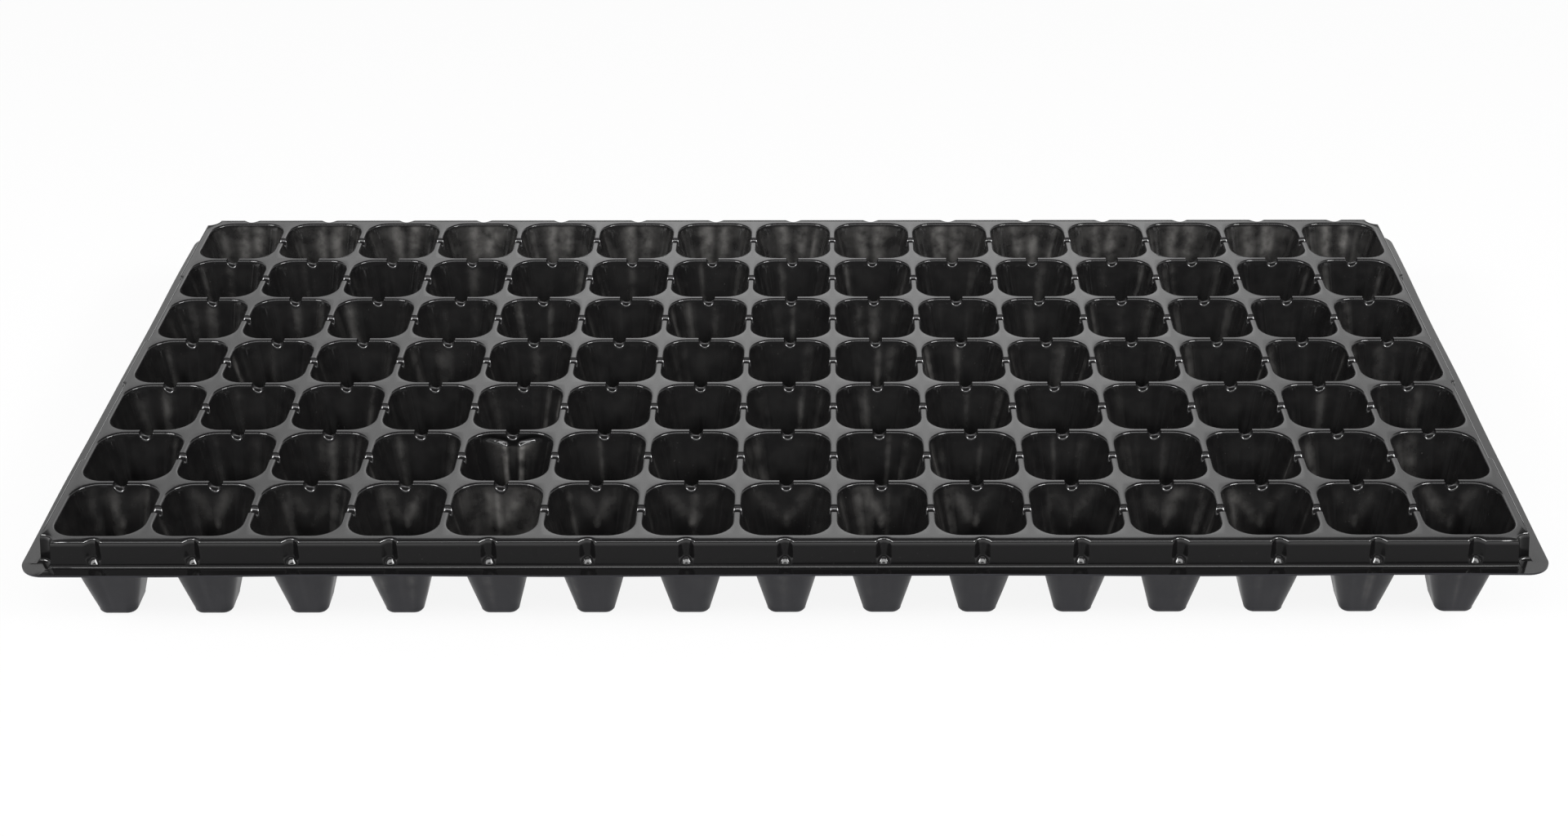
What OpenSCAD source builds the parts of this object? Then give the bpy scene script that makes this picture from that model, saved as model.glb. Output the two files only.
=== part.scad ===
// Seed tray of one drawn sheet: tapered cells with vent notches between
// neighbours, a skirt with flutes and bays, and a flat flange. Millimetres,
// +Z up, long side along X. The cell floors stand on z = 0, with the tray's
// centre over the origin.

/* [Cells] */
// Cells along the length
columns = 15; // [3:1:20]
// Cells along the width
rows = 7; // [5:1:9]
// Distance between cell centres along the length
pitch_x = 34.7; // [33:0.1:45]
// Distance between cell centres along the width
pitch_y = 37.5; // [33:0.1:45]
// Height from the cell floors to the deck
tray_h = 40; // [30:1:60]
// Flat width of the web between two cells
web_w = 1.2; // [1:0.1:3.5]
// Corner radius of a cell's opening at the deck
corner_r = 11.8; // [8:0.1:12.5]
// Corner radius of a cell's flat floor
floor_r = 0.5; // [0.3:0.1:2]
// Bevel between a cell's wall and its floor, inside
foot_bevel = 1; // [0.6:0.1:2]
// Diameter of the drain hole in each floor
drain_d = 7; // [3:0.5:9]

/* [Sheet] */
// Thickness of the deck, skirt and flange
sheet_t = 0.8; // [0.5:0.1:1]
// Thickness of a cell's floor, where the drawn sheet is thinnest
floor_t = 0.5; // [0.3:0.1:0.8]

/* [Vent notches] */
// Radius of the half-round notch across each web
notch_r = 2.8; // [1.5:0.1:3]

/* [Deck edge] */
// Flat margin from the outer cells' openings to the deck's short edges
margin_x = 2.55; // [2.5:0.05:8]
// Flat margin from the outer cells' openings to the deck's long edges
margin_y = 3.7; // [3.5:0.1:10]
// Radius of the scoop in each deck corner
scoop_r = 5; // [3:0.5:7]
// Radius of the flutes along the long edges
flute_r = 2.8; // [2:0.1:4]
// Depth of the flutes
flute_depth = 2; // [1:0.1:2.5]
// Depth of the bays along the short edges
bay_depth = 1.5; // [0.5:0.1:1.6]
// Distance from the middle of a short edge to each bay
bay_start = 17; // [10:1:30]
// Length of each bay
bay_l = 61; // [40:1:62]

/* [Skirt and flange] */
// Drop from the deck to the flange
skirt_drop = 10.4; // [8:0.1:20]
// Outward lean of the skirt, degrees
skirt_draft = 5; // [1:0.5:8]
// Width of the flange along the short sides
flange_x = 6.9; // [5:0.1:15]
// Width of the flange along the long sides
flange_y = 4.7; // [3:0.1:15]
// Radius of the flange's corners
flange_r = 9; // [5:0.5:12]

/* [Hidden] */
$fn = 48;

tray_black = [0.11, 0.11, 0.12];
// Overshoot of a cut past the face that it opens
over = 1;

// Half sizes of an opening at the deck, where the lip begins
open_x = (pitch_x - web_w) / 2;
open_y = (pitch_y - web_w) / 2;
// Half lengths of the straight stretch of a cell's sides, the same at every height
flat_x = open_x - corner_r;
flat_y = open_y - corner_r;
// Centres of the columns from left to right and of the rows from back to front
last_x = (columns - 1) / 2 * pitch_x;
last_y = (rows - 1) / 2 * pitch_y;
column_at = [for (i = [0:columns - 1]) i * pitch_x - last_x];
row_at = [for (j = [0:rows - 1]) last_y - j * pitch_y];

// Half sizes of the deck, and heights of the plates
deck_x = last_x + open_x + margin_x;
deck_y = last_y + open_y + margin_y;
skirt_top = tray_h - sheet_t;
flange_top = tray_h - skirt_drop;

// Section of a cell's wall, by the distance out from the axis of the cell's
// corner, and the height. The wall is the line that touches the lip's round, whose
// radius is the sheet's thickness, and a round at the foot that the bevel cuts off.
lip_c = [corner_r, skirt_top];
foot_c = [floor_r, floor_t + foot_bevel];
round_gap = lip_c - foot_c;
draft = acos((sheet_t + foot_bevel) / norm(round_gap)) - atan2(round_gap.y, round_gap.x);
// The wall's inner face: its unit normal, pointing into the cell, and its ends
wall_n = [-cos(draft), sin(draft)];
wall_top = lip_c + sheet_t * wall_n;
wall_foot = foot_c - foot_bevel * wall_n;
// The lip's round in two flats
lip_mid = lip_c + sheet_t * [cos(135 - draft / 2), sin(135 - draft / 2)];

// Distance from a web's middle line to the inner face of the next cell's wall
function web_reach(z) =
    web_w / 2 + corner_r - wall_top.x - (z - wall_top.y) * tan(draft);

// Distance that the leaning skirt stands out from the deck's edge at a height
function lean(z) = (tray_h - z) * tan(skirt_draft);

// Sector of a ring about a point, between two angles under 180 degrees apart
module ring_sector(centre, r_in, r_out, a0, a1) {
    mid = (a0 + a1) / 2;
    far = 2 * r_out;
    translate(centre) difference() {
        intersection() {
            circle(r = r_out);
            polygon([[0, 0], far * [cos(a0), sin(a0)],
                     far * [cos(mid), sin(mid)], far * [cos(a1), sin(a1)]]);
        }
        if (r_in > 0) circle(r = r_in);
    }
}

// Rectangle with round corners, centred on the origin
module round_rectangle(half, r) {
    square(2 * [half.x, half.y - r], center = true);
    square(2 * [half.x - r, half.y], center = true);
    for (q = [[1, 1, 0], [-1, 1, 90], [-1, -1, 180], [1, -1, 270]])
        ring_sector([q[0] * (half.x - r), q[1] * (half.y - r)], 0, r, q[2], q[2] + 90);
}

// Section of a cell's wall from the lip to the floor. The drawn wall thins from the
// lip to the foot.
module wall_section() {
    polygon([lip_c + [0, sheet_t], lip_mid, wall_top, wall_foot, [floor_r, floor_t],
             [floor_r, 0], wall_foot - floor_t * wall_n, lip_c]);
}

// Round bar at deck level, along X, that a vent notch follows
module notch_bar(r) {
    translate([0, 0, tray_h]) rotate([0, 90, 0])
        cylinder(r = r, h = min(pitch_x, pitch_y) / 2, center = true);
}

// Straight wall of a cell, on the side that the turn faces. A wall that shares its
// web with a neighbour is open at the vent notch.
module cell_wall(turn, out, half_l, shared) {
    rotate(turn) difference() {
        translate([out, half_l, 0]) rotate([90, 0, 0])
            linear_extrude(2 * half_l) wall_section();
        if (shared) translate([out + corner_r + web_w / 2, 0, 0]) notch_bar(notch_r + sheet_t);
    }
}

// The same round corner of every cell
module cell_corners(turn, sx, sy) {
    color(tray_black) for (x = column_at, y = row_at)
        translate([x + sx * flat_x, y + sy * flat_y, 0]) rotate(turn)
            rotate_extrude(angle = 90) wall_section();
}

module cell_floors() {
    color(tray_black) for (x = column_at, y = row_at) translate([x, y, 0])
        linear_extrude(floor_t) difference() {
            round_rectangle([flat_x + floor_r, flat_y + floor_r], floor_r);
            circle(d = drain_d);
        }
}

module cell_front_walls() {
    color(tray_black) for (x = column_at, j = [0:rows - 1]) translate([x, row_at[j], 0])
        cell_wall(270, flat_y, flat_x, j < rows - 1);
}

module cell_back_walls() {
    color(tray_black) for (x = column_at, j = [0:rows - 1]) translate([x, row_at[j], 0])
        cell_wall(90, flat_y, flat_x, j > 0);
}

module cell_left_walls() {
    color(tray_black) for (i = [0:columns - 1], y = row_at) translate([column_at[i], y, 0])
        cell_wall(180, flat_x, flat_y, i > 0);
}

module cell_right_walls() {
    color(tray_black) for (i = [0:columns - 1], y = row_at) translate([column_at[i], y, 0])
        cell_wall(0, flat_x, flat_y, i < columns - 1);
}

module cell_front_left_corners() {
    cell_corners(180, -1, -1);
}

module cell_front_right_corners() {
    cell_corners(270, 1, -1);
}

module cell_back_left_corners() {
    cell_corners(90, -1, 1);
}

module cell_back_right_corners() {
    cell_corners(0, 1, 1);
}

// Web along Y between two neighbouring cells, with the vent notch's gutter across
// its middle, cut flush with both cells' walls
module web(half_l) {
    gutter_r = notch_r + sheet_t;
    low = tray_h - gutter_r - over;
    difference() {
        union() {
            translate([-web_w / 2, -half_l, skirt_top]) cube([web_w, 2 * half_l, sheet_t]);
            intersection() {
                notch_bar(gutter_r);
                rotate([90, 0, 0]) linear_extrude(2 * (gutter_r + over), center = true)
                    polygon([[-web_reach(tray_h), tray_h], [web_reach(tray_h), tray_h],
                             [web_reach(low), low], [-web_reach(low), low]]);
            }
        }
        notch_bar(notch_r);
    }
}

module row_webs() {
    color(tray_black) for (x = column_at, j = [0:rows - 2])
        translate([x, row_at[j] - pitch_y / 2, 0]) rotate(90) web(flat_x);
}

module column_webs() {
    color(tray_black) for (i = [0:columns - 2], y = row_at)
        translate([column_at[i] + pitch_x / 2, y, 0]) web(flat_y);
}

// Flute rounds along a long edge that lies on y = 0, with the tray at +y
module flute_rounds(wall) {
    for (x = column_at) translate([x, flute_depth - flute_r]) circle(r = flute_r + wall);
}

// Bays along a short edge that lies on y = 0, with the tray at +y
module bay_cuts(wall) {
    bay_end = bay_start + bay_l;
    for (side = [0, 1]) mirror([side, 0]) translate([0, wall])
        polygon([[bay_start - over, -over], [bay_start + bay_depth, bay_depth],
                 [bay_end - bay_depth, bay_depth], [bay_end + over, -over]]);
}

// Children at both short edges of an outline whose half length is given
module at_short_edges(half) {
    for (turn = [90, -90]) rotate(turn) translate([0, -half, 0]) children();
}

// Children at both long edges of an outline whose half width is given
module at_long_edges(half) {
    for (turn = [0, 180]) rotate(turn) translate([0, -half, 0]) children();
}

// Children at the four corners of the deck
module at_deck_corners() {
    for (sx = [-1, 1], sy = [-1, 1]) translate([sx * deck_x, sy * deck_y, 0]) children();
}

// Flat piece of the deck where four cells meet; at the border it runs out to the
// deck's edge. i counts the webs from the left, j from the back.
module junction(i, j) {
    x0 = i == 0 ? -deck_x : column_at[i - 1] + flat_x;
    x1 = i == columns ? deck_x : column_at[i] - flat_x;
    y0 = j == rows ? -deck_y : row_at[j] + flat_y;
    y1 = j == 0 ? deck_y : row_at[j - 1] - flat_y;
    border_x = i == 0 || i == columns;
    border_y = j == 0 || j == rows;
    translate([0, 0, skirt_top]) linear_extrude(sheet_t) difference() {
        translate([x0, y0]) square([x1 - x0, y1 - y0]);
        for (x = concat(i == 0 ? [] : [x0], i == columns ? [] : [x1]),
             y = concat(j == rows ? [] : [y0], j == 0 ? [] : [y1]))
            translate([x, y]) circle(r = corner_r);
        if (border_x && border_y) at_deck_corners() circle(r = scoop_r);
        else if (border_x) at_short_edges(deck_x) bay_cuts(0);
    }
}

module web_junctions() {
    color(tray_black) for (i = [0:columns], j = [0:rows])
        if (i % columns != 0 || j % rows != 0) junction(i, j);
}

module deck_corners() {
    color(tray_black) for (i = [0, columns], j = [0, rows]) junction(i, j);
}

// Deck margin in front of each cell of the front row, bitten by its flute
module long_margin() {
    color(tray_black) translate([0, 0, skirt_top]) linear_extrude(sheet_t) difference() {
        for (x = column_at) translate([x - flat_x, -deck_y]) square([2 * flat_x, margin_y]);
        translate([0, -deck_y]) flute_rounds(0);
    }
}

// Deck margin beside each cell of the right-hand column, set back at the bays
module short_margin() {
    color(tray_black) translate([0, 0, skirt_top]) linear_extrude(sheet_t) difference() {
        for (y = row_at) translate([deck_x - margin_x, y - flat_y]) square([margin_x, 2 * flat_y]);
        at_short_edges(deck_x) bay_cuts(0);
    }
}

module front_margin() {
    long_margin();
}

module back_margin() {
    rotate(180) long_margin();
}

module left_margin() {
    rotate(180) short_margin();
}

module right_margin() {
    short_margin();
}

// Leaning wall along X that faces -Y, between the flange and the deck. Its
// children are the plan of the wall, with the outer face on y = 0.
module leaning_wall(edge) {
    reach = 2 * (deck_x + deck_y);
    intersection() {
        translate([0, -edge, tray_h]) rotate([-skirt_draft, 0, 0])
            translate([0, 0, -2 * skirt_drop]) linear_extrude(3 * skirt_drop) children();
        translate([-reach / 2, -reach / 2, flange_top])
            cube([reach, reach, skirt_top - flange_top]);
    }
}

// Plan of a straight band behind an edge on y = 0
module edge_band(half_l, y0, y1) {
    translate([-half_l, y0]) square([2 * half_l, y1 - y0]);
}

// Tapered round, in each deck corner, that the scoops leave open; wall widens it
module scoop_rounds(wall) {
    z0 = flange_top - over;
    z1 = skirt_top + over;
    at_deck_corners() translate([0, 0, z0])
        cylinder(r1 = scoop_r - lean(z0) + wall, r2 = scoop_r - lean(z1) + wall, h = z1 - z0);
}

// Front skirt wall with a flute at the middle of every cell
module fluted_skirt() {
    color(tray_black) difference() {
        leaning_wall(deck_y) difference() {
            intersection() {
                union() {
                    edge_band(deck_x, 0, sheet_t);
                    flute_rounds(sheet_t);
                }
                edge_band(deck_x, 0, margin_y);
            }
            flute_rounds(0);
        }
        scoop_rounds(sheet_t);
    }
}

// Right-hand skirt wall with its two bays
module bayed_skirt() {
    color(tray_black) difference() {
        rotate(90) leaning_wall(deck_x) difference() {
            edge_band(deck_y, 0, bay_depth + sheet_t);
            bay_cuts(0);
            difference() {
                edge_band(deck_y + over, sheet_t, bay_depth + sheet_t + over);
                bay_cuts(sheet_t);
            }
        }
        scoop_rounds(sheet_t);
    }
}

module front_skirt() {
    fluted_skirt();
}

module back_skirt() {
    rotate(180) fluted_skirt();
}

module left_skirt() {
    rotate(180) bayed_skirt();
}

module right_skirt() {
    bayed_skirt();
}

// Scooped walls in the corners, cut flush with the skirt walls' outer faces
module skirt_corners() {
    r_low = scoop_r - lean(flange_top);
    r_high = scoop_r - lean(skirt_top);
    depth = 2 * scoop_r + sheet_t;
    color(tray_black) for (turn = [0, 180], side = [0, 1])
        rotate(turn) mirror([side, 0, 0]) intersection() {
            translate([deck_x, -deck_y, 0]) rotate_extrude()
                polygon([[r_low, flange_top], [r_low + sheet_t, flange_top],
                         [r_high + sheet_t, skirt_top], [r_high, skirt_top]]);
            leaning_wall(deck_y) edge_band(2 * deck_x, 0, depth);
            rotate(90) leaning_wall(deck_x) edge_band(2 * deck_y, 0, depth);
        }
}

// Plan of the flange, from the inner face of the skirt's foot to the rounded rim
module flange_plan() {
    foot = [deck_x, deck_y] + lean(flange_top) * [1, 1];
    difference() {
        round_rectangle(foot + [flange_x, flange_y], flange_r);
        difference() {
            square(2 * (foot - sheet_t * [1, 1]), center = true);
            at_long_edges(foot.y) flute_rounds(sheet_t);
            at_short_edges(foot.x) bay_cuts(sheet_t);
            at_deck_corners() circle(r = scoop_r - lean(flange_top) + sheet_t);
        }
    }
}

// Piece of the flange within a rectangle given by two opposite corners
module flange_piece(low, high) {
    color(tray_black) translate([0, 0, flange_top - sheet_t]) linear_extrude(sheet_t)
        intersection() {
            flange_plan();
            translate(low) square(high - low);
        }
}

// The flange's corners begin in line with the outermost cells' straight sides
flange_split = [last_x + flat_x, last_y + flat_y];
rim = [deck_x + flange_x, deck_y + flange_y] + (lean(flange_top) + over) * [1, 1];

module front_flange() {
    flange_piece([-flange_split.x, -rim.y], [flange_split.x, -flange_split.y]);
}

module back_flange() {
    flange_piece([-flange_split.x, flange_split.y], [flange_split.x, rim.y]);
}

module left_flange() {
    flange_piece([-rim.x, -flange_split.y], [-flange_split.x, flange_split.y]);
}

module right_flange() {
    flange_piece([flange_split.x, -flange_split.y], [rim.x, flange_split.y]);
}

module flange_corners() {
    for (turn = [0, 180]) rotate(turn) {
        flange_piece(flange_split, rim);
        flange_piece([-rim.x, flange_split.y], [-flange_split.x, rim.y]);
    }
}

cell_floors();
cell_front_walls();
cell_back_walls();
cell_left_walls();
cell_right_walls();
cell_front_left_corners();
cell_front_right_corners();
cell_back_left_corners();
cell_back_right_corners();
row_webs();
column_webs();
web_junctions();
deck_corners();
front_margin();
back_margin();
left_margin();
right_margin();
front_skirt();
back_skirt();
left_skirt();
right_skirt();
skirt_corners();
front_flange();
back_flange();
left_flange();
right_flange();
flange_corners();
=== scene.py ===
import math
import bpy
import numpy as np
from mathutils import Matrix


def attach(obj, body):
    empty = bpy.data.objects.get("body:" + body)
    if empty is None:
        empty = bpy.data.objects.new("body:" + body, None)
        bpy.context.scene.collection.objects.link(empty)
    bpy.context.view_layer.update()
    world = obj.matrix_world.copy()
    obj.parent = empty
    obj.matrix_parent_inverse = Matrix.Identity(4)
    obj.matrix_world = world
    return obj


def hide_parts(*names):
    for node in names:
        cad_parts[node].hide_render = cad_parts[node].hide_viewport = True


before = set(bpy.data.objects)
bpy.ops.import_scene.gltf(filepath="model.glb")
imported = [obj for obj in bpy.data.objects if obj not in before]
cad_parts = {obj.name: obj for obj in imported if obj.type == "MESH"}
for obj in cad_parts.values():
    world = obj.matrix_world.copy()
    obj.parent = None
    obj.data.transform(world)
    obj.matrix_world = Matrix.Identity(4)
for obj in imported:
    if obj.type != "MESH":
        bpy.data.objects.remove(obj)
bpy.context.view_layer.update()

# The cells are cups drawn down from one heated sheet of black plastic: a small round
# lip, four walls that taper to a flat foot, and a punched drain hole. Half-round vent
# notches, pressed by the same mould, cross the webs between neighbours.
mm = 0.001
columns, rows = 15, 7
pitch_x, pitch_y = 34.7, 37.5
deck_z = 40.0
mouth_x, mouth_y, mouth_r = 16.8, 18.2, 9.7
border_x, border_y = 0.2, 0.5
cell_sheet = 0.6
lip_round = 0.9
lip_inset, wall_slope, wall_curve = 0.75, 0.228, 0.0006
foot_r, foot_round, foot_z = 3.0, 1.6, 0.62
foot_run, foot_rise, foot_r_loss = 0.9 * foot_round, 0.85 * foot_round, 0.8
wall_end_z = foot_z + foot_rise
corner_taper = 1.1
drain_r = 3.5
notch_w, notch_depth, notch_curve = 2.65, 2.3, 0.7
saddle_drop, saddle_gap, saddle_turn = 1.25, 0.04, 1.4
shaky = np.random.default_rng(7)

# Points along half of a straight side, in mm from its middle, close across the notch.
across_notch = [0, 0.7, 1.3, 1.8, 2.2, 2.5, 2.65, 2.9, 3.8]
side_y = np.array([*across_notch, 5.6]) / (mouth_y - mouth_r)
side_x = np.array([*across_notch, 5.2]) / (mouth_x - mouth_r)
turn = np.radians(np.linspace(0, 90, 9))
corner_start = len(side_y)
corner_mid = corner_start + len(turn) // 2
corner_end = corner_start + len(turn) - 1
quarter = corner_end + len(side_x)


def four_quarters(part):
    """Mirrors the back right quarter's points into a ring round the whole cell."""
    return np.concatenate([part, part[::-1][1:] * (-1, 1), part[1:] * (-1, -1),
                           part[::-1][1:-1] * (1, -1)])


# A ring's point stands out by a part of the straight half side and of the corner's radius.
straight_part = four_quarters(np.concatenate([np.stack([np.ones_like(side_y), side_y], 1),
                                              np.ones((len(turn), 2)),
                                              np.stack([side_x[::-1], np.ones_like(side_x)], 1)]))
round_part = four_quarters(np.concatenate([np.tile((1.0, 0.0), (len(side_y), 1)),
                                           np.stack([np.cos(turn), np.sin(turn)], 1),
                                           np.tile((0.0, 1.0), (len(side_x), 1))]))
on_end = np.abs(round_part[:, 0]) > 0.999
on_side = np.abs(round_part[:, 1]) > 0.999
around = len(straight_part)


def mouth_ring(half_x, half_y, r):
    """Ring on a rounded rectangle, whose sizes may differ from point to point."""
    x = (half_x - r) * straight_part[:, 0] + r * round_part[:, 0]
    y = (half_y - r) * straight_part[:, 1] + r * round_part[:, 1]
    return np.stack([x, y], axis=1)


mouth = mouth_ring(mouth_x, mouth_y, mouth_r)
walk = np.cumsum(np.linalg.norm(np.diff(mouth, axis=0, prepend=mouth[-1:]), axis=1))
way_round = walk[-1]
bearing = walk / way_round * 2 * math.pi


def tile_ring(left, right, front, back):
    """Ring on the edge of a cell's tile of deck, level with each point of its mouth.
    A tile is square, and rounded where the cell stands in a corner of the tray."""
    ring = mouth.copy()
    for q, (sx, sy) in enumerate([(1, 1), (-1, 1), (-1, -1), (1, -1)]):
        half_x = right if sx > 0 else left
        half_y = back if sy > 0 else front
        for k in range(quarter + 1):
            i = (q * quarter + k) % around
            step = k if q % 2 == 0 else quarter - k
            x, y = abs(mouth[i, 0]), abs(mouth[i, 1])
            if half_x < pitch_x / 2 and half_y < pitch_y / 2:
                x += (half_x - mouth_x) * abs(round_part[i, 0])
                y += (half_y - mouth_y) * abs(round_part[i, 1])
            elif step <= corner_mid:
                along = max(0, step - corner_start) / (corner_mid - corner_start)
                y = min(y, mouth_y - mouth_r)
                x, y = half_x, y + along * (half_y - y)
            else:
                along = max(0, corner_end - step) / (corner_end - corner_mid)
                x = min(x, mouth_x - mouth_r)
                x, y = x + along * (half_x - x), half_y
            ring[i] = (sx * x, sy * y)
    return ring


def bell(off, wide):
    """1 in the middle of a dent or mark, falling away over a width."""
    return np.exp(-(off / wide) ** 2)


def ramp(value, start, end):
    """0 at the start, 1 at the end, which may be the lower one, and level beyond both."""
    return np.clip((value - start) / (end - start), 0, 1)


def wall_inset(depth):
    """How far a cup's inner wall stands in from its mouth, by depth below the deck."""
    return lip_inset + wall_slope * depth + wall_curve * depth ** 2


lip_angles = np.radians([0, 22, 45, 64, 80])
saddle_angles = np.radians([18, 34, 50, 66, 80])
edge_ring = (0.3, 0.3, 0.09)


def lip_rings(tile, sink):
    """Rings from a tile's edge over the round lip. Sink is 1 in the middle of a notch,
    where the lip turns into half of a saddle across the web, and 0 beside it."""
    dip = notch_depth * sink
    top = deck_z - dip
    sunk = wall_inset(dip) - wall_inset(0)
    half_web = pitch_x / 2 - mouth_x
    saddle_reach = half_web + wall_inset(dip + saddle_drop) - saddle_gap
    rings = [np.column_stack([tile, top])]
    for angle, over in zip(lip_angles, saddle_angles):
        inset = sunk + lip_round * math.sin(angle)
        saddle_inset = saddle_reach * math.sin(over) / math.sin(saddle_turn) - half_web
        inset = inset + sink * (saddle_inset - inset)
        drop = lip_round * (1 - math.cos(angle))
        saddle = saddle_drop * (1 - math.cos(over)) / (1 - math.cos(saddle_turn))
        z = top - drop - sink * (saddle - drop)
        ring = mouth_ring(mouth_x - inset, mouth_y - inset, mouth_r - inset)
        rings.append(np.column_stack([ring, z]))
    rings.insert(1, rings[0] + (rings[1] - rings[0]) * edge_ring)
    return rings


def foot_rings():
    """Rings of a cup's rounded foot and of its flat floor, in to the drain hole."""
    rings = []
    foot = wall_inset(deck_z - wall_end_z)
    for angle in np.radians([25, 48, 70]):
        slide = foot_run * (1 - math.cos(angle))
        z = foot_z + foot_rise * (1 - math.sin(angle))
        r = foot_r - slide * foot_r_loss
        ring = mouth_ring(mouth_x - foot - slide, mouth_y - foot - slide, r)
        rings.append(np.column_stack([ring, np.full(around, z)]))
    floor_edge = rings[-1][:, :2]
    way = np.arctan2(floor_edge[:, 1], floor_edge[:, 0])
    drain_edge = drain_r * np.stack([np.cos(way), np.sin(way)], axis=1)
    for share in (0.2, 0.6, 1.0):
        ring = floor_edge + share * (drain_edge - floor_edge)
        rings.append(np.column_stack([ring, np.full(around, foot_z)]))
    return rings


# One cell was bent, and its far wall buckled; the one in front of it is dustier.
bent_cell, dusty_cell = (4, 5), (4, 6)
fold_depth, fold_flat, fold_rise = 5.3, 2.5, 0.26
fold_from, fold_full, fold_fading, fold_to = 1.6, 2.8, 7.5, 11.5
ridge_height, ridge_above, ridge_below = 0.3, 0.45, 2.5
groove_depth, groove_up, groove_w = 0.7, 1.5, 0.8
channel_depth, channel_w, channel_from, channel_full = 0.7, 2.0, 3, 6
shoulder_at, shoulder_w = 3.3, 1.0


def fold_line(x):
    """Depth of the fold in the bent cell's far wall."""
    return fold_depth - fold_rise * np.clip(np.abs(x) - fold_flat, 0, None)


def crease(x, depth):
    """Buckle in the bent cell's far wall: a channel under its notch with a shoulder on
    each side, and a fold that runs up from them towards the lip."""
    below = depth - fold_line(x)
    x = np.abs(x)
    ridge = ridge_height * np.where(below < 0, bell(below, ridge_above), bell(below, ridge_below))
    groove = groove_depth * bell(below + groove_up, groove_w)
    fold = (ridge - groove) * ramp(x, fold_from, fold_full) * ramp(x, fold_to, fold_fading)
    channel = channel_depth * (bell(x - shoulder_at, shoulder_w) - np.exp(-(x / channel_w) ** 4))
    return fold + channel * np.exp(-depth / deck_z) * ramp(depth, channel_from, channel_full)


# Pale marks on the walls: sizes in mm, and strengths as the part of the wall they hide.
# They are dust and dirt, a painted sheen, painted reflections, a painted highlight and a painted
# shade.
# An even pale film on every cup's walls, dust with a painted sheen, and paler streaks.
thin_dust_and_sheen, wall_streak_strength = 0.025, 0.26
wall_tint_full, wall_tint_fading, wall_tint_end = 5, 26, 38
far_wall, far_wall_full = 9, 12
# Painted reflection on the front cells' far walls: two pale arms in a fork, and a spot where they
# meet.
fork_depth, fork_gap, fork_shift = 13.5, 1.5, 2
fork_slope, more_slope = 0.45, 0.4
arm_reflection, more_arm, arm_w, arm_full, arm_end = 0.05, 0.2, 2.8, 12, 15
spot_reflection, more_spot, spot_depth, spot_w, spot_h = 0.15, 0.7, 14.5, 1.3, 1.5
reflection_full = 4
# Painted sheen on the back cells' far walls, paler in two streaks.
back_sheen, back_sheen_streaks, back_sheen_at, back_sheen_w = 0.1, 0.4, 4, 2.5
# Bent cell: a painted highlight in streaks down its shoulders and wings of dirt under its fold.
# Neither reaches above the fold, which leaves a painted shade over the recess.
streak_highlight, streak_at, streak_w = 0.75, 3.4, 0.9
wing_film, wing_h, wing_fading, wing_end = 0.3, 8, 5.5, 11.5
wing_gap, wing_full, film_in_gap = 1, 3, 0.3
fold_shade = 0.5
wall_tint_on_bent, dusty_film = 0.3, 0.1


def streaked_wall_tint(depth, wall_streaks):
    """An even pale film over a cup's wall, dust with a painted sheen, and paler vertical streaks."""
    dirt_and_light = thin_dust_and_sheen
    for weight, at, wide in wall_streaks:
        off = np.abs((walk - at + way_round / 2) % way_round - way_round / 2)
        dirt_and_light = dirt_and_light + wall_streak_strength * weight * bell(off, wide)
    return dirt_and_light * ramp(depth, 0, wall_tint_full) * ramp(depth, wall_tint_end, wall_tint_fading)


def forked_reflection(x, depth, weights):
    """Painted reflection on a front cell's far wall: two pale arms that meet in a spot,
    each time a little different by the weights of the cell's streaks."""
    shift, left, right, slope, spot = weights[:5]
    from_middle = x + fork_shift - 2 * fork_shift * shift
    arm_at = fork_gap + (fork_slope + more_slope * slope) * np.clip(fork_depth - depth, 0, None)
    arms = bell(np.abs(from_middle) - arm_at, arm_w) * ramp(depth, arm_end, arm_full)
    arms = arms * (arm_reflection + more_arm * np.where(from_middle < 0, left, right))
    spot = (spot_reflection + more_spot * spot) * bell(x, spot_w) * bell(depth - spot_depth, spot_h)
    return (arms + spot) * ramp(depth, 0, reflection_full)


def bent_dirt_and_light(x, depth):
    """Painted highlight in streaks down the bent cell's shoulders, and wings of dirt under
    its fold. Neither reaches above the fold, which leaves a painted shade over its recess.
    """
    below = depth - fold_line(x)
    x = np.abs(x)
    streaks = streak_highlight * bell(x - streak_at, streak_w)
    wings = wing_film * np.exp(-below / wing_h) * ramp(x, wing_end, wing_fading)
    wings = wings * np.maximum(ramp(x, wing_gap, wing_full), film_in_gap)
    return (wings + streaks) * ramp(below, 0, fold_shade)


def wall_dirt_and_light(depth, wall_streaks, column, row):
    """How much of a cup's wall the pale marks hide, at one depth all round: dust and dirt,
    and painted sheen, reflection, highlight and shade.
    """
    x, y = mouth.T
    far = ramp(y, far_wall, far_wall_full)
    # Dust and a painted sheen all over, with paler streaks.
    dirt_and_light = streaked_wall_tint(depth, wall_streaks)
    # Front row: a painted reflection in a fork on the far wall.
    if row == rows - 1:
        dirt_and_light = dirt_and_light + far * forked_reflection(x, depth, wall_streaks[:, 0])
    # Back row: a painted sheen on the far wall.
    if row == 0:
        dirt_and_light = dirt_and_light + far * (back_sheen + back_sheen_streaks * bell(np.abs(x) - back_sheen_at, back_sheen_w))
    # Bent cell: less of the even film, plus a painted highlight, dirt and a painted shade round its
    # fold.
    if (column, row) == bent_cell:
        dirt_and_light = dirt_and_light * wall_tint_on_bent + far * bent_dirt_and_light(x, depth)
    if (column, row) == dusty_cell:
        dirt_and_light = dirt_and_light + far * dusty_film
    return np.clip(dirt_and_light, 0, 1)


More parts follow.
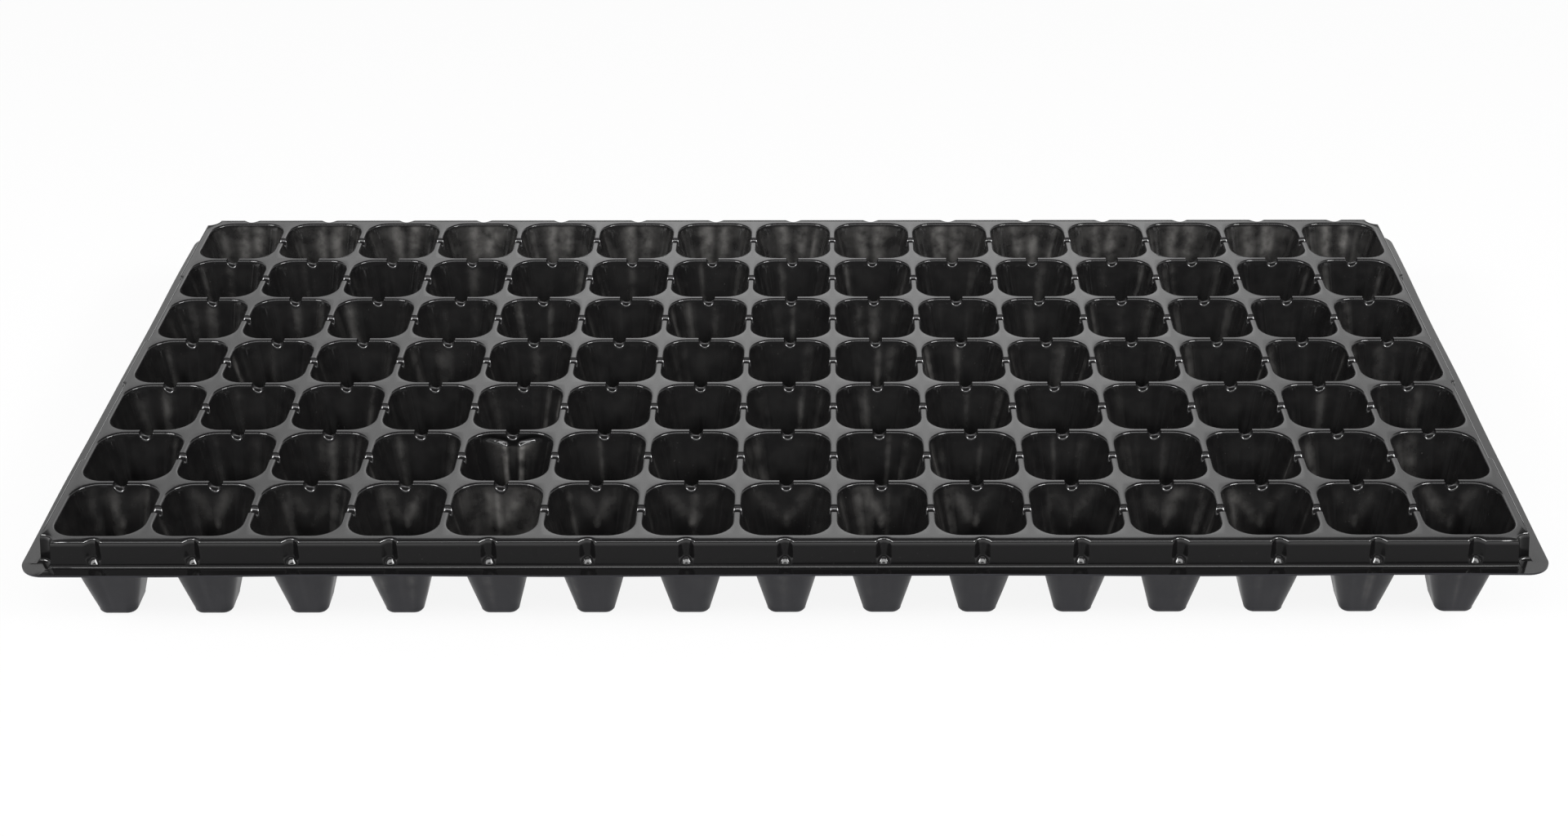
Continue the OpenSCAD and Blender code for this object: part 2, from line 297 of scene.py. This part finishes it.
# A drawn wall is never quite even: it waves, swells here and there and is pulled askew.
wave_heights, wave_counts, last_phase = (0.05, 0.05, 0.03), (9, 14, 23), 6.28
askew = 0.05
swell_count, swell_height, front_swell_height = 6, 0.08, 0.16
swell_w, swell_h, swell_top, swell_bottom = 4.5, 5.5, 4, 26
wall_streak_count, wall_streak_narrow, wall_streak_wide = 9, 0.8, 2.4


def wall_flaws(row):
    """What is uneven on one cup: a wave round its walls, a pull to one side, swells with
    their height, bearing and depth, and pale streaks with their weight, place and width."""
    phases = shaky.uniform(0, last_phase, 4)
    wave = sum(height * np.sin(count * bearing + phase)
               for height, count, phase in zip(wave_heights, wave_counts, phases))
    pull = shaky.normal(0, askew, 2)
    spread = front_swell_height if row == rows - 1 else swell_height
    swells = np.column_stack([shaky.normal(0, spread, swell_count),
                              shaky.uniform(0, 2 * math.pi, swell_count),
                              shaky.uniform(swell_top, swell_bottom, swell_count)])
    wall_streaks = np.column_stack([shaky.uniform(0, 1, wall_streak_count) ** 2,
                            shaky.uniform(0, way_round, wall_streak_count),
                            shaky.uniform(wall_streak_narrow, wall_streak_wide, wall_streak_count)])
    return wave, pull, swells, wall_streaks


def tile_and_notches(column, row):
    """Edge of a cell's tile of deck, and how deep in a notch each point of its mouth is."""
    inner_left, inner_right = column > 0, column < columns - 1
    inner_back, inner_front = row > 0, row < rows - 1
    tile = tile_ring(pitch_x / 2 if inner_left else mouth_x + border_x,
                     pitch_x / 2 if inner_right else mouth_x + border_x,
                     pitch_y / 2 if inner_front else mouth_y + border_y,
                     pitch_y / 2 if inner_back else mouth_y + border_y)
    x, y = mouth.T
    notched = (on_end & (((x > 0) & inner_right) | ((x < 0) & inner_left))
               | on_side & (((y > 0) & inner_back) | ((y < 0) & inner_front)))
    off_middle = np.where(on_end, np.abs(y), np.abs(x))
    sink = np.clip(1 - (off_middle / notch_w) ** 2, 0, 1) ** notch_curve
    return tile, np.where(notched, sink, 0)


# Levels of a wall's rings, from its lip down to its foot, closer at the bent cell's fold.
wall_shares = [0.03, 0.065, 0.11, 0.16, 0.22, 0.28, 0.34, 0.40, 0.47, 0.56, 0.67, 0.79, 0.9, 1.0]
bent_shares = [*np.linspace(0.012, 0.19, 16), *wall_shares[4:]]


def cup_rings(column, row):
    """Rings of one cup, from its tile's edge over the lip and down to the drain hole,
    and its pale marks: dirt, and painted sheen, reflection, highlight and shade."""
    rings = lip_rings(*tile_and_notches(column, row))
    ring_dirt_and_light = [np.zeros(around)] * len(rings)
    wave, pull, swells, wall_streaks = wall_flaws(row)
    bent = (column, row) == bent_cell
    x, y = mouth.T
    high = rings[-1][:, 2]
    for share in bent_shares if bent else wall_shares:
        z = high + share * (wall_end_z - high)
        depth = deck_z - z
        belly = np.sin(math.pi * depth / deck_z)
        inset = wall_inset(depth) + wave * belly
        for height, at, deep in swells:
            off = np.abs(np.angle(np.exp(1j * (bearing - at)))) * way_round / (2 * math.pi)
            inset = inset + height * bell(off, swell_w) * bell(depth - deep, swell_h) * belly
        if bent:
            inset = inset + crease(x, depth) * (y > mouth_y - mouth_r)
        r = mouth_r - inset
        r = r + (foot_r - mouth_r + wall_inset(deck_z)) * (depth / deck_z) ** corner_taper
        ring = mouth_ring(mouth_x - inset, mouth_y - inset, r)
        rings.append(np.column_stack([ring + pull * belly[:, None], z]))
        ring_dirt_and_light.append(wall_dirt_and_light(depth, wall_streaks, column, row))
    rings += foot_rings()
    ring_dirt_and_light += [np.zeros(around)] * (len(rings) - len(ring_dirt_and_light))
    middle = ((column - (columns - 1) / 2) * pitch_x, ((rows - 1) / 2 - row) * pitch_y, 0)
    return np.array(rings) + middle, np.array(ring_dirt_and_light)


def ring_faces(count, points, start):
    """Four-sided faces between neighbouring rings of points."""
    here = np.arange(points)
    after = (here + 1) % points
    bands = []
    for j in range(count - 1):
        low, high = start + j * points, start + (j + 1) * points
        bands.append(np.stack([low + here, low + after, high + after, high + here], axis=1))
    return np.concatenate(bands)


weld_gap, crisp_angle = 0.01, 48


def drawn_sheet(name, points, faces, wear_and_light, thickness, top_finish, mould_finish):
    """Closed sheet of plastic under the given upper face, with the mould's finish on
    its lower face and crisp edges where it was trimmed or punched. The marks name
    the wear, dirt and painted light held on the points, and say how strong each is there."""
    face = bpy.data.meshes.new(name)
    face.from_pydata((points * mm).tolist(), [], faces.tolist())
    for mark, strength in wear_and_light.items():
        face.attributes.new(mark, "FLOAT", "POINT").data.foreach_set("value", strength)
    face.materials.append(top_finish)
    face.materials.append(mould_finish)
    piece = bpy.data.objects.new(name, face)
    bpy.context.collection.objects.link(piece)
    weld = piece.modifiers.new("weld", "WELD")
    weld.merge_threshold = weld_gap * mm
    solid = piece.modifiers.new("thickness", "SOLIDIFY")
    solid.thickness = thickness * mm
    solid.offset = -1
    solid.material_offset = 1
    solid.material_offset_rim = 1
    seen = piece.evaluated_get(bpy.context.evaluated_depsgraph_get())
    sheet = bpy.data.meshes.new_from_object(seen)
    sheet.name = name
    piece.modifiers.clear()
    piece.data = sheet
    sheet.shade_smooth()
    sheet.set_sharp_from_angle(angle=math.radians(crisp_angle))
    return piece


# Pale colour of dust and dirt, which the film also uses for painted sheen, reflections and
# highlights.
dirt_and_light_colour = (0.155, 0.15, 0.144, 1)


def make_sheet_finish():
    """Finish of the whole sheet: gloss that wanders a little, scuffs, a fine grain,
    specks of dust, and two marks the mesh holds: pale films of dirt and painted light,
    and polish that is rubbed off."""
    group = bpy.data.node_groups.new("drawn_sheet_finish", "ShaderNodeTree")
    group.interface.new_socket("Body", in_out="INPUT", socket_type="NodeSocketColor")
    for name in ("Smooth", "Dull", "Dust"):
        group.interface.new_socket(name, in_out="INPUT", socket_type="NodeSocketFloat")
    for name, kind in (("Colour", "NodeSocketColor"), ("Roughness", "NodeSocketFloat"),
                       ("Gloss", "NodeSocketFloat"), ("Height", "NodeSocketFloat")):
        group.interface.new_socket(name, in_out="OUTPUT", socket_type=kind)
    nodes, link = group.nodes, group.links.new
    given, result = nodes.new("NodeGroupInput"), nodes.new("NodeGroupOutput")
    place = nodes.new("ShaderNodeTexCoord")

    def noise(scale, detail, stretch=None):
        """Uneven pattern that lies still on the sheet."""
        texture = nodes.new("ShaderNodeTexNoise")
        texture.inputs["Scale"].default_value = scale
        texture.inputs["Detail"].default_value = detail
        source = place.outputs["Object"]
        if stretch:
            mapping = nodes.new("ShaderNodeMapping")
            mapping.inputs["Scale"].default_value = stretch
            link(source, mapping.inputs["Vector"])
            source = mapping.outputs["Vector"]
        link(source, texture.inputs["Vector"])
        return texture.outputs["Fac"]

    def wear_and_light(mark):
        """A mark the mesh holds, of wear, dirt and painted light, 0 where it has none."""
        node = nodes.new("ShaderNodeAttribute")
        node.attribute_name = mark
        return node.outputs["Fac"]

    def span(value, low, high, to_low, to_high):
        """A value stretched from one span to another, whose ends may be sockets."""
        node = nodes.new("ShaderNodeMapRange")
        for name, number in (("From Min", low), ("From Max", high)):
            node.inputs[name].default_value = number
        for name, number in (("To Min", to_low), ("To Max", to_high)):
            if isinstance(number, (int, float)):
                node.inputs[name].default_value = number
            else:
                link(number, node.inputs[name])
        link(value, node.inputs["Value"])
        return node.outputs["Result"]

    def joined(operation, first, second):
        """Two values added or multiplied."""
        node = nodes.new("ShaderNodeMath")
        node.operation = operation
        link(first, node.inputs[0])
        link(second, node.inputs[1])
        return node.outputs["Value"]

    clouds = noise(70, 4)
    scuffs = span(noise(40, 5, (1, 9, 4)), 0.58, 0.75, 0.0, 0.10)
    wandering = span(clouds, 0.3, 0.7, given.outputs["Smooth"], given.outputs["Dull"])
    link(joined("ADD", wandering, scuffs), result.inputs["Roughness"])

    rubbed_off = span(wear_and_light("rub"), 0.0, 1.0, 1.0, 0.18)
    link(rubbed_off, result.inputs["Gloss"])

    specks = span(noise(1100, 1), 0.72, 0.80, 0.0, 1.0)
    patches = span(noise(28, 2), 0.45, 0.75, 0.0, 1.0)
    dust = joined("MULTIPLY", joined("MULTIPLY", specks, patches), given.outputs["Dust"])
    blotches = span(noise(160, 5), 0.35, 0.65, 0.3, 1.5)
    # Dust, dirt and painted light from the film, towards the pale colour.
    dirt_and_light_share = joined("ADD", dust, joined("MULTIPLY", wear_and_light("dirt_and_light"), blotches))
    colour = nodes.new("ShaderNodeMix")
    colour.data_type = "RGBA"
    link(given.outputs["Body"], colour.inputs["A"])
    colour.inputs["B"].default_value = dirt_and_light_colour
    link(dirt_and_light_share, colour.inputs["Factor"])
    link(colour.outputs["Result"], result.inputs["Colour"])

    grain = span(noise(2600, 2), 0.3, 0.7, 0.0, 0.4)
    ripple = span(clouds, 0.3, 0.7, 0.0, 1.0)
    link(joined("ADD", grain, ripple), result.inputs["Height"])
    return group


sheet_finish = make_sheet_finish()


def black_plastic(name, body, ior, polish, smooth, dull, dust, relief):
    """Self-coloured black plastic with the finish of the sheet. A polish of None is one
    that use has rubbed off in places."""
    finish = bpy.data.materials.new(name)
    finish.use_nodes = True
    nodes, link = finish.node_tree.nodes, finish.node_tree.links.new
    shader = nodes["Principled BSDF"]
    shader.inputs["IOR"].default_value = ior
    shader.inputs["Coat IOR"].default_value = 1.6
    shader.inputs["Coat Roughness"].default_value = 0.11
    group = nodes.new("ShaderNodeGroup")
    group.node_tree = sheet_finish
    group.inputs["Body"].default_value = body
    group.inputs["Smooth"].default_value = smooth
    group.inputs["Dull"].default_value = dull
    group.inputs["Dust"].default_value = dust
    bump = nodes.new("ShaderNodeBump")
    bump.inputs["Strength"].default_value = 0.25
    bump.inputs["Distance"].default_value = relief * mm
    link(group.outputs["Height"], bump.inputs["Height"])
    link(bump.outputs["Normal"], shader.inputs["Normal"])
    link(group.outputs["Colour"], shader.inputs["Base Color"])
    link(group.outputs["Roughness"], shader.inputs["Roughness"])
    if polish is None:
        link(group.outputs["Gloss"], shader.inputs["Coat Weight"])
    else:
        shader.inputs["Coat Weight"].default_value = polish
    return finish


upper_face = {"body": (0.005, 0.0048, 0.005, 1), "ior": 1.1, "smooth": 0.26, "dull": 0.38,
              "dust": 0.25, "relief": 0.02}
gloss_side = black_plastic("gloss_side", polish=1.0, **upper_face)
mould_side = black_plastic("mould_side", polish=0.0, body=(0.017, 0.017, 0.021, 1), ior=1.33,
                           smooth=0.30, dull=0.42, dust=0.2, relief=0.04)

for row in range(rows):
    cup_points, cup_faces, cup_dirt_and_light, start = [], [], [], 0
    for column in range(columns):
        rings, ring_dirt_and_light = cup_rings(column, row)
        cup_faces.append(ring_faces(len(rings), around, start))
        cup_points.append(rings.reshape(-1, 3))
        cup_dirt_and_light.append(ring_dirt_and_light.ravel())
        start += ring_dirt_and_light.size
    # Each row's film holds dirt and painted light on the cup walls.
    cells = drawn_sheet(f"cells_row_{row + 1}", np.concatenate(cup_points), np.concatenate(cup_faces),
                        {"dirt_and_light": np.concatenate(cup_dirt_and_light)}, cell_sheet, gloss_side, mould_side)
    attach(cells, "root")
    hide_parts("cell_floors", "cell_front_walls", "cell_back_walls", "cell_left_walls",
                "cell_right_walls", "cell_front_left_corners", "cell_front_right_corners",
                "cell_back_left_corners", "cell_back_right_corners", "row_webs", "column_webs",
                "web_junctions")

# The rim is the border of the same sheet: a narrow margin of deck, a skirt with a
# flute at every cell of the long sides and two bays on each short one, scooped
# corners, and a flange trimmed by a knife, so its edge is never quite straight.
deck_x, deck_y = 262.2, 134.35
field_x = (columns - 1) / 2 * pitch_x + mouth_x + border_x
field_y = (rows - 1) / 2 * pitch_y + mouth_y + border_y
skirt_lean = 0.91
edge_round, base_round = 0.95, 1.1
flange_z = 29.6
flange_x, flange_y, flange_r = 270.0, 139.95, 9.0
knife_wander, knife_wave_x, knife_wave_y = 0.12, 19, 15
flange_sag, least_sag, sag_wave_x, sag_wave_y = 0.22, -0.6, 31, 23
rim_sheet = 0.75
scoop_r, scoop_steps = 5.0, 14
flute_w, flute_depth, flute_curve, flute_flare = 3.1, 2.0, 1.5, 0.5
spoon_from, spoon_to, spoon_width, spoon_curve = 3.9, 1.2, 0.72, 1.7
bay_from, bay_to, bay_depth = 17.0, 78.0, 1.25
unrubbed_bite, unrubbed_height = 0.4, 2.9

# Points along the sides, in mm, close together at the flutes and at the bays' ends.
flute_at = (np.arange(columns) - (columns - 1) / 2) * pitch_x
flute_steps = np.array([0, 0.6, 1.1, 1.6, 2.0, 2.4, 2.7, 2.9, 3.1, 3.5, 4.5, mouth_x - mouth_r, 12.0])
long_straight = field_x - border_x - mouth_r
front_stations = np.add.outer(flute_at, np.concatenate([-flute_steps, flute_steps]))
front_stations = np.unique(np.round(front_stations, 4))
front_stations = front_stations[np.abs(front_stations) <= long_straight + 0.01]
short_straight = field_y - border_y - mouth_r
bay_steps = np.array([-2.0, -0.6, 0, 0.35, 0.75, 1.15, 1.5, 2.1, 3.5])
plain_steps = [7, 28, 38, 48, 58, 68, 90, 102, 112, short_straight]
end_stations = np.concatenate([bay_from + bay_steps, bay_to - bay_steps, plain_steps])
end_stations = np.unique(np.round(np.concatenate([-end_stations, [0], end_stations]), 4))


def flute_bite(x, z):
    """How far a long side is set back at its flutes; each ends in a spoon at the foot."""
    open_part = ramp(z - flange_z, spoon_to, spoon_from)
    depth = flute_depth * (1 - (1 - open_part) ** spoon_curve)
    half_w = flute_w * (spoon_width + (1 - spoon_width) * open_part)
    half_w = half_w + flute_flare * max(0, z - deck_z + edge_round)
    away = np.min(np.abs(x[:, None] - flute_at), axis=1)
    return depth * np.clip(1 - (away / half_w) ** 2, 0, 1) ** flute_curve


def bay_bite(y):
    """How far a short side is set back at its two bays."""
    into = np.minimum(np.abs(y) - bay_from, bay_to - np.abs(y)) / bay_depth
    into = np.clip(into, 0, 1)
    return bay_depth * into * into * (3 - 2 * into)


def skirt_ring(z, lean, offset):
    """Closed outline of the skirt at one height, from the front's left end round by
    the right, and where its eight parts end. Offset is the distance out from the
    leaning wall, in a fillet."""
    out = lean + offset
    r = scoop_r - out
    meet = math.asin(out / r)
    arc = np.linspace(math.pi + meet, math.pi / 2 - meet, scoop_steps + 1)
    scoop = np.stack([deck_x + r * np.cos(arc), -deck_y + r * np.sin(arc)], axis=1)
    x, y = front_stations, end_stations
    front = np.stack([x, -deck_y - out + flute_bite(x, z)], axis=1)
    right = np.stack([deck_x + out - bay_bite(y), y], axis=1)
    front = np.concatenate([scoop[:1] * (-1, 1), front, scoop[:1]])
    right = np.concatenate([scoop[-1:], right, scoop[-1:] * (1, -1)])
    scoop = scoop[1:-1]
    parts = [front, scoop, right, scoop[::-1] * (1, -1), front[::-1] * (1, -1),
             scoop * (-1, -1), right[::-1] * (-1, 1), scoop[::-1] * (-1, 1)]
    return np.concatenate(parts), np.cumsum([0] + [len(p) for p in parts])


def border_ring(skirt, ends, half_x, half_y, corner_x, corner_y):
    """The skirt's points moved to a rectangle with round corners. A corner's points run
    from a long side to a short one."""
    ring = skirt.copy()
    ring[ends[0]:ends[1], 1] = -half_y
    ring[ends[2]:ends[3], 0] = half_x
    ring[ends[4]:ends[5], 1] = half_y
    ring[ends[6]:ends[7], 0] = -half_x
    for part, sx, sy in ((1, 1, -1), (3, 1, 1), (5, -1, 1), (7, -1, -1)):
        at = np.arange(ends[part] - 1, ends[part + 1] + 1) % len(ring)
        corner = np.stack([sx * corner_x, sy * corner_y], axis=1)
        ring[at] = corner if sx == -sy else corner[::-1]
    return ring


def field_ring(skirt, ends):
    """The rim's inner edge, on the edge of the field of cells."""
    arc_x = long_straight + (mouth_r + border_x) * np.cos(turn[::-1])
    arc_y = short_straight + (mouth_r + border_y) * np.sin(turn[::-1])
    along = np.linspace(0, len(turn) - 1, scoop_steps + 3)[1:-1]
    x = np.interp(along, range(len(turn)), arc_x)
    y = np.interp(along, range(len(turn)), arc_y)
    return border_ring(skirt, ends, field_x, field_y, x, y)


def knife_ring(skirt, ends):
    """The flange's trimmed edge, which wanders a little inside its full size."""
    arc = np.linspace(0, math.pi / 2, scoop_steps + 1)
    inner_x, inner_y = flange_x - flange_r, flange_y - flange_r
    ring = border_ring(skirt, ends, flange_x, flange_y, inner_x + flange_r * np.sin(arc),
                       inner_y + flange_r * np.cos(arc))
    waves = np.sin(ring[:, 0] / knife_wave_x) + np.sin(ring[:, 1] / knife_wave_y + 1)
    wander = knife_wander * (waves - 2)
    ring[:, 0] += np.sign(ring[:, 0]) * wander * (np.abs(ring[:, 0]) > inner_x)
    ring[:, 1] += np.sign(ring[:, 1]) * wander * (np.abs(ring[:, 1]) > inner_y)
    return ring


def rubbed(ring, ends, z, lean):
    """Where other trays in a stack have rubbed the skirt dull: all over, apart from the
    spoons at the feet of its flutes."""
    rub = np.ones(len(ring))
    for part in (0, 4):
        at = slice(ends[part], ends[part + 1])
        bite = deck_y + lean - np.abs(ring[at, 1])
        above = z - flange_z - unrubbed_height
        rub[at] = np.clip(np.maximum(1 - bite / unrubbed_bite, above), 0, 1)
    return rub


# Heights of the rim's rings, over the deck's round edge, down the skirt and round its
# foot, each with its distance out from the leaning wall.
levels = []
for angle in np.radians([0, 24, 48, 70, 88]):
    levels.append((deck_z - edge_round * (1 - math.cos(angle)), -edge_round * (1 - math.sin(angle))))
for above in (8.4, 7.0, 5.6, 4.6, 3.9, 3.4, 3.1, 2.8, 2.5, 2.2, 1.9, 1.6, 1.4, 1.25, base_round):
    levels.append((flange_z + above, 0))
for angle in np.radians([18, 36, 54, 72, 90]):
    levels.append((flange_z + base_round * (1 - math.sin(angle)), base_round * (1 - math.cos(angle))))
rim_rings, rubs = [], []
for z, offset in levels:
    lean = skirt_lean * ramp(z, deck_z, flange_z)
    ring, ends = skirt_ring(z, lean if offset >= 0 else 0, offset)
    rim_rings.append(np.column_stack([ring, np.full(len(ring), z)]))
    rubs.append(rubbed(ring, ends, z, lean) * (offset == 0))
not_rubbed = np.zeros(len(ring))
field_edge = field_ring(rim_rings[0][:, :2], ends)
rim_rings.insert(0, np.column_stack([field_edge, np.full(len(ring), deck_z)]))
rubs.insert(0, not_rubbed)
skirt_foot = rim_rings[-1][:, :2]
knife_edge = knife_ring(skirt_foot, ends)
for share in (0.25, 0.6, 1.0):
    ring = skirt_foot + share * (knife_edge - skirt_foot)
    wave = np.sin(ring[:, 0] / sag_wave_x + ring[:, 1] / sag_wave_y)
    sag = flange_sag * share * (wave + least_sag)
    rim_rings.append(np.column_stack([ring, flange_z + sag]))
    rubs.append(not_rubbed)
rim_rings = np.array(rim_rings)[:, ::-1]
rubs = np.array(rubs)[:, ::-1]
rubbed_side = black_plastic("rubbed_side", polish=None, **upper_face)
rim = drawn_sheet("rim", rim_rings.reshape(-1, 3), ring_faces(*rubs.shape, 0), {"rub": rubs.ravel()},
                  rim_sheet, rubbed_side, mould_side)
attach(rim, "root")
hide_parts("deck_corners", "front_margin", "back_margin", "left_margin", "right_margin",
            "front_skirt", "back_skirt", "left_skirt", "right_skirt", "skirt_corners",
            "front_flange", "back_flange", "left_flange", "right_flange", "flange_corners")

# The setting: a floor of lit white paper, which the polished sheet mirrors as white too,
# softboxes to the left, to the right and in front, a bright wall behind that gives the
# deck its sheen, and three dim walls that fill in the sides and the front.
floor_half, floor_z = 6, -0.0001
floor_corners = [(x * floor_half, y * floor_half, 0) for x, y in ((-1, -1), (1, -1), (1, 1), (-1, 1))]
floor_mesh = bpy.data.meshes.new("floor")
floor_mesh.from_pydata(floor_corners, [], [(0, 1, 2, 3)])
floor = bpy.data.objects.new("floor", floor_mesh)
floor.location.z = floor_z
bpy.context.collection.objects.link(floor)
paper = bpy.data.materials.new("floor_paper")
paper.use_nodes = True
nodes, link = paper.node_tree.nodes, paper.node_tree.links.new
white_paper = nodes["Principled BSDF"]
white_paper.inputs["Base Color"].default_value = (0.8, 0.8, 0.8, 1)
white_paper.inputs["Roughness"].default_value = 0.9
white = nodes.new("ShaderNodeEmission")
lit_paper = nodes.new("ShaderNodeMixShader")
lit_paper.inputs["Fac"].default_value = 0.9
link(white_paper.outputs[0], lit_paper.inputs[1])
link(white.outputs[0], lit_paper.inputs[2])
ray = nodes.new("ShaderNodeLightPath")
seen_or_mirrored = nodes.new("ShaderNodeMath")
seen_or_mirrored.operation = "MAXIMUM"
link(ray.outputs["Is Camera Ray"], seen_or_mirrored.inputs[0])
link(ray.outputs["Is Glossy Ray"], seen_or_mirrored.inputs[1])
seen_through = nodes.new("ShaderNodeMath")
seen_through.operation = "MAXIMUM"
link(seen_or_mirrored.outputs[0], seen_through.inputs[0])
link(ray.outputs["Is Transmission Ray"], seen_through.inputs[1])
seen_paper = nodes.new("ShaderNodeMixShader")
link(seen_through.outputs[0], seen_paper.inputs["Fac"])
link(white_paper.outputs[0], seen_paper.inputs[1])
link(lit_paper.outputs[0], seen_paper.inputs[2])
link(seen_paper.outputs[0], nodes["Material Output"].inputs["Surface"])
floor_mesh.materials.append(paper)

studio = bpy.data.worlds.new("studio")
studio.use_nodes = True
sky = studio.node_tree.nodes["Background"]
sky.inputs["Color"].default_value = (1, 1, 1, 1)
sky.inputs["Strength"].default_value = 0.12
bpy.context.scene.world = studio


def softbox(name, width, height, watts, place):
    """Rectangular lamp at a place, turned to the middle of the tray."""
    lamp = bpy.data.lights.new(name, "AREA")
    lamp.shape = "RECTANGLE"
    lamp.size, lamp.size_y, lamp.energy = width, height, watts
    box = bpy.data.objects.new(name, lamp)
    box.location = place
    x, y, z = place
    box.rotation_euler = (math.atan2(math.hypot(x, y), z), 0, math.atan2(-y, -x) - math.pi / 2)
    bpy.context.collection.objects.link(box)


softbox("softbox_left", 0.75, 0.38, 14.8, (-1.1, -0.65, 0.95))
softbox("softbox_right", 0.75, 0.38, 17.6, (1.1, -0.65, 0.95))
softbox("softbox_front", 1.5, 0.3, 7.4, (0, -0.85, 1.05))
softbox("softbox_behind", 3.0, 0.8, 6.3, (0, 1.75, 1.0))
for width, watts, y in ((1.37, 0.71, 1.71), (1.0, 0.56, 1.67), (0.73, 0.49, 1.63)):
    softbox("softbox_behind_middle", width, 0.8, watts, (0.05, y, 1.0))
softbox("wall_left", 2.2, 0.8, 4.4, (-1.9, 0.5, 1.1))
softbox("wall_right", 2.2, 0.8, 4.4, (1.9, 0.5, 1.1))
softbox("wall_front", 3.0, 0.7, 4.0, (0, -1.9, 0.9))

view = bpy.data.cameras.new("camera")
view.sensor_width = 36
view.lens = 53.955
view.shift_x = -0.02876
camera = bpy.data.objects.new("camera", view)
camera.location = (0.01393, -0.82902, 0.48272)
camera.rotation_euler = (math.radians(60.488), 0, math.radians(-0.1285))
bpy.context.collection.objects.link(camera)
bpy.context.scene.camera = camera
bpy.context.scene.view_settings.view_transform = "Standard"
